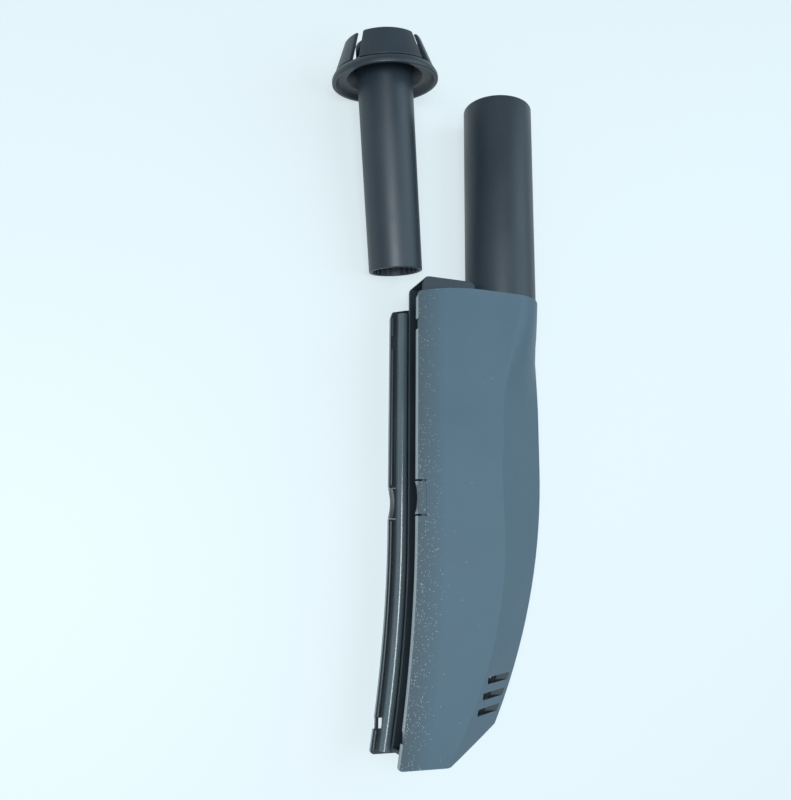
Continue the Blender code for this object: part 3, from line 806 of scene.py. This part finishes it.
@dataclass
class Mouth:
    """The channel between the cheeks and the glossy beads along it."""

    datum: Datum
    line: MouthLine
    rail_setback: float = 3.7 * MM
    rail_width: float = 6.0 * MM
    rail_height: float = 3.4 * MM
    rail_end: float = 2.4 * MM
    lip_width: float = 2.1 * MM
    lip_height: float = 0.9 * MM
    lip_end: float = 0.8 * MM
    lip_inset: float = 0.25 * MM
    lip_sides: int = 16
    lip_spans: tuple[tuple[float, float], ...] = ((1.8, 11.0), (17.2, 112.4), (130.8, 203.8),
                                                  (210.7, 221.0))
    wall: float = 2.0 * MM
    channel_wall: float = 1.7 * MM
    channel_edge: float = 0.3 * MM
    rib_pitch: float = 9.0 * MM
    rib_section: tuple[float, float] = (1.8 * MM, 1.0 * MM)
    rib_slack: float = 0.1 * MM
    rib_ends: tuple[float, float] = (42 * MM, 12 * MM)
    station_pitch: float = 3 * MM
    end_runs: tuple[float, ...] = (0.0, 0.05, 0.15, 0.3, 0.5, 0.75, 1.0, 1.5)

    def path(self, low_y: float, high_y: float, setback: float, foot: float) -> list[Vector]:
        """Points along the mouth's edge line.

        Args:
            low_y: Where the path starts along Y, in the row's frame.
            high_y: Where it ends.
            setback: How far behind the mouth's edge it runs.
            foot: Its height.

        Returns:
            The points, closer together at both ends.
        """
        length = high_y - low_y
        ends = [run * MM for run in self.end_runs if run * MM < length / 2]
        count = max(1, round((length - 2 * ends[-1]) / self.station_pitch))
        middle = [ends[-1] + (length - 2 * ends[-1]) * i / count for i in range(1, count)]
        stations = ends + middle + [length - run for run in reversed(ends)]
        points = []
        for station in stations:
            y = low_y + station
            run = max(0.0, self.line.bend_start_y - y)
            radius = self.line.bend_radius
            x = self.line.straight_x - (radius - math.sqrt(radius * radius - run * run))
            points.append(Vector((x + setback, y, foot)))
        return points

    def rail(self, side: Side, material: bpy.types.Material) -> None:
        """Builds one cheek's glossy bead in the place of its solid."""
        node = f"{side.name.lower()}_rail"
        low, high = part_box(node)
        foot = high[2] if side is Side.NEAR else low[2]
        path = self.path(low[1], high[1], self.rail_setback + self.rail_width / 2, foot)
        # The bead's light grey colour is a painted sheen on black polished plastic.
        bead = Sweep(f"{node}_bead", self.rail_width, self.rail_height, self.rail_end)
        settle(bead.make(path, side.value, material), Body.NOZZLE.value, "gloss", node)

    def lips(self, side: Side, material: bpy.types.Material) -> None:
        """Builds the low lips that stiffen one cheek's mouth edge from the inside."""
        shell_low, shell_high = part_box(f"{side.name.lower()}_shell")
        foot = shell_high[2] - self.wall if side is Side.NEAR else shell_low[2] + self.wall
        for number, (start, end) in enumerate(self.lip_spans, 1):
            path = self.path(self.datum.at(0, start, 0).y, self.datum.at(0, end, 0).y,
                             self.lip_width / 2 + self.lip_inset, foot)
            lip = Sweep(f"{side.name.lower()}_lip_{number}", self.lip_width, self.lip_height,
                        self.lip_end, self.lip_sides)
            settle(lip.make(path, side.value, material), Body.NOZZLE.value, "casing")

    def build(self, gloss: bpy.types.Material, smooth: bpy.types.Material) -> None:
        """Builds the rails, the lips and the channel's ribs, and dresses the channel."""
        for side in Side:
            self.rail(side, gloss)
            self.lips(side, smooth)
        channel = Casing(self.datum, edge=self.channel_edge).refined("mouth_channel", smooth)
        settle(channel, Body.NOZZLE.value, "smooth", "mouth_channel")
        low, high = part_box("mouth_channel")
        wall = self.channel_wall
        back = high[0] - wall
        depth, thickness = self.rib_section
        middle = (low[2] + high[2]) / 2
        places = []
        y = low[1] + self.rib_ends[0]
        while y < high[1] - self.rib_ends[1]:
            places.append((Vector((back - depth / 2, y, middle)), Vector((0, 0, 0))))
            y += self.rib_pitch
        tall = high[2] - low[2] - 2 * wall - self.rib_slack
        ribs = Repeater("channel_ribs", (depth, thickness, tall)).make(places, smooth)
        settle(ribs, Body.NOZZLE.value, "smooth")


@dataclass
class Neck:
    """The round tube that the cleaner's hose end pushes into."""

    bore: float = 35.0 * MM
    throat: float = 31.4 * MM
    spigot: float = 34.6 * MM
    spigot_length: float = 12.0 * MM
    stop: float = 2.0 * MM
    lip: float = 0.5 * MM
    steps: int = 160

    def build(self, material: bpy.types.Material) -> None:
        """Builds and dresses the tube."""
        low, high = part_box("neck_tube")
        radius = (high[2] - low[2]) / 2
        length = high[1] - low[1] - self.spigot_length
        profile = [(radius, 0.0), (radius, length), (self.bore / 2, length),
                   (self.bore / 2, self.stop), (self.throat / 2, self.stop),
                   (self.throat / 2, -self.spigot_length), (self.spigot / 2, -self.spigot_length),
                   (self.spigot / 2, 0.0)]
        centre = Vector(((low[0] + high[0]) / 2, low[1] + self.spigot_length,
                         (low[2] + high[2]) / 2))
        place = Matrix.Translation(centre) @ Matrix.Rotation(-math.pi / 2, 4, "X")
        mesh = finish_mesh("neck_skin", turned(rounded(profile, self.lip), steps=self.steps),
                           place)
        settle(mesh_object("neck_skin", mesh, material, ROUND_PIECE), Body.NOZZLE.value,
               "smooth", "neck_tube")


@dataclass
class Adapter:
    """The loose tube with its flared ring and slotted crown."""

    datum: Datum
    stand: tuple[float, float, float] = (-0.9, 243.1, 0.0)
    foot: float = 28.3 * MM
    head: float = 29.5 * MM
    bore: float = 24.8 * MM
    length: float = 121.0 * MM
    rim: float = 56.6 * MM
    rim_position: float = 101.0 * MM
    ring_height: float = 4.6 * MM
    rim_wall: float = 1.8 * MM
    hub_rise: float = 6.4 * MM
    crown_base: float = 53.0 * MM
    crown_top: float = 40.4 * MM
    petals: int = 4
    petal_height: float = 16.5 * MM
    petal_wall: float = 2.4 * MM
    petal_slot: float = math.radians(12.0)
    crown_turn: float = math.radians(-11.5)
    petal_gap: float = 0.6 * MM
    heading: float = math.radians(96.9)
    gap: float = 0.3 * MM
    edge: float = 0.5 * MM
    ring_edge: float = 0.6 * MM
    petal_edge: float = 0.55 * MM
    petal_steps: int = 36
    crush_ribs: int = 24
    crush_rib: tuple[float, float, float] = (0.5 * MM, 0.7 * MM, 7.0 * MM)
    crush_sink: float = 0.05 * MM
    crush_setback: float = 0.6 * MM

    @property
    def axis(self) -> Matrix:
        """The adapter's axis from its lower end, lying on its foot and its rim."""
        tilt = math.asin((self.rim - self.foot) / 2 / self.rim_position)
        place = self.datum.at(*self.stand)
        place.z += self.foot / 2 * math.cos(tilt)
        turn = Matrix.Rotation(self.heading, 4, "Z") @ Matrix.Rotation(math.pi / 2 - tilt, 4, "Y")
        return Matrix.Translation(place) @ turn

    def tube(self, material: bpy.types.Material) -> None:
        """Builds the tube, a little wider towards its crown."""
        foot, head, bore = self.foot / 2, self.head / 2, self.bore / 2
        profile = [(foot, 0.0), (head, self.rim_position), (head, self.length),
                   (bore, self.length), (bore, 0.0)]
        loop = rounded(profile, self.edge)
        mesh = finish_mesh("adapter_tube_skin", turned(loop), self.axis)
        settle(mesh_object("adapter_tube_skin", mesh, material, ROUND_PIECE),
               Body.ADAPTER.value, "smooth", "adapter_tube")

    def ring(self, material: bpy.types.Material) -> None:
        """Builds the flared ring and the hub that joins it to the tube."""
        rim, top = self.rim / 2, self.rim_position + self.ring_height
        hub = self.head / 2 + self.gap
        base = self.crown_base / 2
        step = base - self.petal_wall - self.gap
        wall = self.rim_wall
        profile = [(rim, self.rim_position), (rim, self.rim_position + self.ring_height / 2),
                   (base + self.edge, top), (step - wall, top), (hub + wall, top + self.hub_rise),
                   (hub, top + self.hub_rise), (hub, top + self.hub_rise - wall),
                   (step - 2 * wall, top - wall), (rim - 2 * wall, top - wall),
                   (rim - wall, self.rim_position)]
        mesh = finish_mesh("adapter_ring_skin", turned(rounded(profile, self.ring_edge)),
                           self.axis)
        settle(mesh_object("adapter_ring_skin", mesh, material, ROUND_PIECE),
               Body.ADAPTER.value, "smooth", "adapter_ring")

    def petal(self, index: int, material: bpy.types.Material) -> None:
        """Builds one finger of the crown.

        Args:
            index: Its number, from zero at the top.
            material: Its finish.
        """
        pitch = TURN / self.petals
        base = self.rim_position + self.ring_height + self.petal_gap
        foot, tip, wall = self.crown_base / 2, self.crown_top / 2, self.petal_wall
        profile = [(foot, 0.0), (tip + self.edge, self.petal_height - 2 * self.edge),
                   (tip - self.edge, self.petal_height),
                   (tip - wall + self.edge, self.petal_height), (foot - wall, 0.0)]
        sweep = pitch - self.petal_slot
        start = math.pi + self.crown_turn + index * pitch - sweep / 2
        mesh = finish_mesh(f"petal_{index + 1}_skin",
                           turned(profile, start, sweep, self.petal_steps),
                           self.axis @ Matrix.Translation((0, 0, base)))
        obj = mesh_object(f"petal_{index + 1}_skin", mesh, material)
        add_bevel(obj, self.petal_edge, math.radians(25))
        settle(baked(obj), f"petal_{index + 1}", "smooth", f"petal_{index + 1}")

    def ribs(self, material: bpy.types.Material) -> None:
        """Builds the low crush ribs round the inside of the tube's lower end."""
        size = self.crush_rib
        places = []
        for i in range(self.crush_ribs):
            angle = TURN * i / self.crush_ribs
            radius = self.bore / 2 - size[0] / 2 + self.crush_sink
            local = Vector((radius * math.cos(angle), radius * math.sin(angle),
                            size[2] / 2 + self.crush_setback))
            turn = (self.axis.to_3x3() @ Matrix.Rotation(angle, 3, "Z")).to_euler()
            places.append((self.axis @ local, Vector(turn)))
        # The ribs' light grey colour is a painted glint on black polished plastic.
        ribs = Repeater("adapter_crush_ribs", size).make(places, material)
        settle(ribs, Body.ADAPTER.value, "gloss")

    def build(self, material: bpy.types.Material, gloss: bpy.types.Material) -> None:
        """Builds and dresses the whole adapter."""
        self.tube(material)
        self.ring(material)
        self.ribs(gloss)
        for index in range(self.petals):
            self.petal(index, material)


@dataclass
class Studio:
    """A plain pale floor, soft light and the camera."""

    datum: Datum
    camera_place: tuple[float, float, float] = (-147.9, 86.7, 416.8)
    forward: tuple[float, float, float] = (0.3371, 0.1986, -0.9203)
    right: tuple[float, float, float] = (0.9384, 0.0081, 0.3454)
    lens: float = 38.68
    floor_size: float = 2.5
    floor_drop: float = 0.0001
    floor_colour: str = "757c7e"
    floor_roughness: float = 0.55
    glow_colour: str = "e0edf2"
    glow: float = 0.735
    aim: tuple[float, float, float] = (0.0, 0.0, 0.02)
    sky_colour: str = "e9f3f6"
    sky: float = 0.45

    def camera(self) -> None:
        """Adds the camera."""
        data = bpy.data.cameras.new("camera")
        data.sensor_width = 36.0
        data.sensor_fit = "HORIZONTAL"
        data.lens = self.lens
        data.clip_start = 0.01
        back = -Vector(self.forward).normalized()
        right = Vector(self.right)
        right = (right - back * right.dot(back)).normalized()
        up = back.cross(right)
        turn = Matrix((right, up, back)).transposed().to_4x4()
        obj = bpy.data.objects.new("camera", data)
        obj.matrix_world = Matrix.Translation(self.datum.at(*self.camera_place)) @ turn
        bpy.context.scene.collection.objects.link(obj)
        bpy.context.scene.camera = obj

    def floor(self) -> None:
        """Adds the pale floor just under what stands on it."""
        bm = bmesh.new()
        bmesh.ops.create_grid(bm, x_segments=1, y_segments=1, size=self.floor_size)
        bmesh.ops.translate(bm, verts=bm.verts, vec=(0, 0, -self.floor_drop))
        mesh = bpy.data.meshes.new("floor")
        bm.to_mesh(mesh)
        bm.free()
        material = bpy.data.materials.new("matt white laminate")
        material.use_nodes = True
        shader = material.node_tree.nodes["Principled BSDF"]
        shader.inputs["Base Color"].default_value = linear(self.floor_colour)
        shader.inputs["Roughness"].default_value = self.floor_roughness
        # The floor is lit from below as well, like a light table, so that shadows stay faint.
        shader.inputs["Emission Color"].default_value = linear(self.glow_colour)
        shader.inputs["Emission Strength"].default_value = self.glow
        obj = mesh_object("floor", mesh, material)

    def light(self, name: str, place: tuple[float, float, float], power: float,
              size: tuple[float, float], colour: str) -> None:
        """Adds one soft light that faces the middle of the set.

        Args:
            name: The light's name.
            place: Where it stands, in metres.
            power: Its power in watts.
            size: Its sides across and along the set, in metres.
            colour: Its sRGB hex colour.
        """
        data = bpy.data.lights.new(name, "AREA")
        data.energy = power
        data.shape = "RECTANGLE"
        data.size, data.size_y = size
        data.color = linear(colour)[:3]
        obj = bpy.data.objects.new(name, data)
        obj.location = place
        towards = Vector(self.aim) - Vector(place)
        obj.rotation_euler = towards.to_track_quat("-Z", "Y").to_euler()
        bpy.context.scene.collection.objects.link(obj)

    def build(self) -> None:
        """Builds the whole setting."""
        self.camera()
        self.floor()
        self.light("window", (0.30, -0.22, 0.90), 1.4, (0.26, 0.26), "e8f5ff")
        self.light("side", (0.80, 0.25, 0.75), 5.4, (0.9, 0.9), "d4f0fe")
        self.light("fill", (-0.85, -0.30, 0.70), 0.8, (0.9, 0.9), "e6f2fa")
        # A narrow strip on the mouth's side draws the long highlight on the polished beads.
        self.light("strip", (-0.33, -0.12, 0.95), 7.8, (0.34, 0.46), "f2fbff")
        world = bpy.data.worlds.new("soft room")
        world.use_nodes = True
        sky = world.node_tree.nodes["Background"]
        sky.inputs["Color"].default_value = linear(self.sky_colour)
        sky.inputs["Strength"].default_value = self.sky
        bpy.context.scene.world = world
        bpy.context.scene.view_settings.view_transform = "Standard"


def main() -> None:
    """Builds the set piece by piece."""
    logging.basicConfig(level=logging.INFO, format="%(message)s")
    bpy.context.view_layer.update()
    datum = Datum()
    line = MouthLine(datum.at(MOUTH_X, 0, 0).x, datum.at(0, BEND_START_Y, 0).y, BEND_RADIUS)
    # The slate cheeks carry dust, a worn edge and a painted shade towards the mouth.
    matte = Finish("spark-textured slate ABS", "3a5260", "405866", 0.50, Grain.SPARKED,
                   dust=DustAndShade(line)).build()
    smooth = Finish("satin charcoal ABS", "1e2830", "232f39", 0.42, Grain.SATIN).build()
    inside = Finish("core-side charcoal ABS", "1d262c", "232c32", 0.42, Grain.SATIN).build()
    # Black polished plastic painted light graphite grey: a painted sheen that stands in for the
    # grey reflection on the beads' shaded flanks and the glints on the crush ribs.
    gloss = Finish("polished graphite ABS", "525f66", "59676e", 0.17, Grain.POLISHED).build()
    pin = Finish("natural nylon pin", "93938a", "a09f95", 0.5, Grain.SATIN).build()

    Casing(datum).build(matte, inside)
    Mouth(datum, line).build(gloss, smooth)
    Neck().build(smooth)
    Adapter(datum).build(smooth, gloss)
    for number in range(1, DOWEL_COUNT + 1):
        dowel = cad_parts[f"dowel_{number}"]
        dowel.data.materials.clear()
        dowel.data.materials.append(pin)
    Studio(datum).build()


if __name__ == "__main__":
    main()
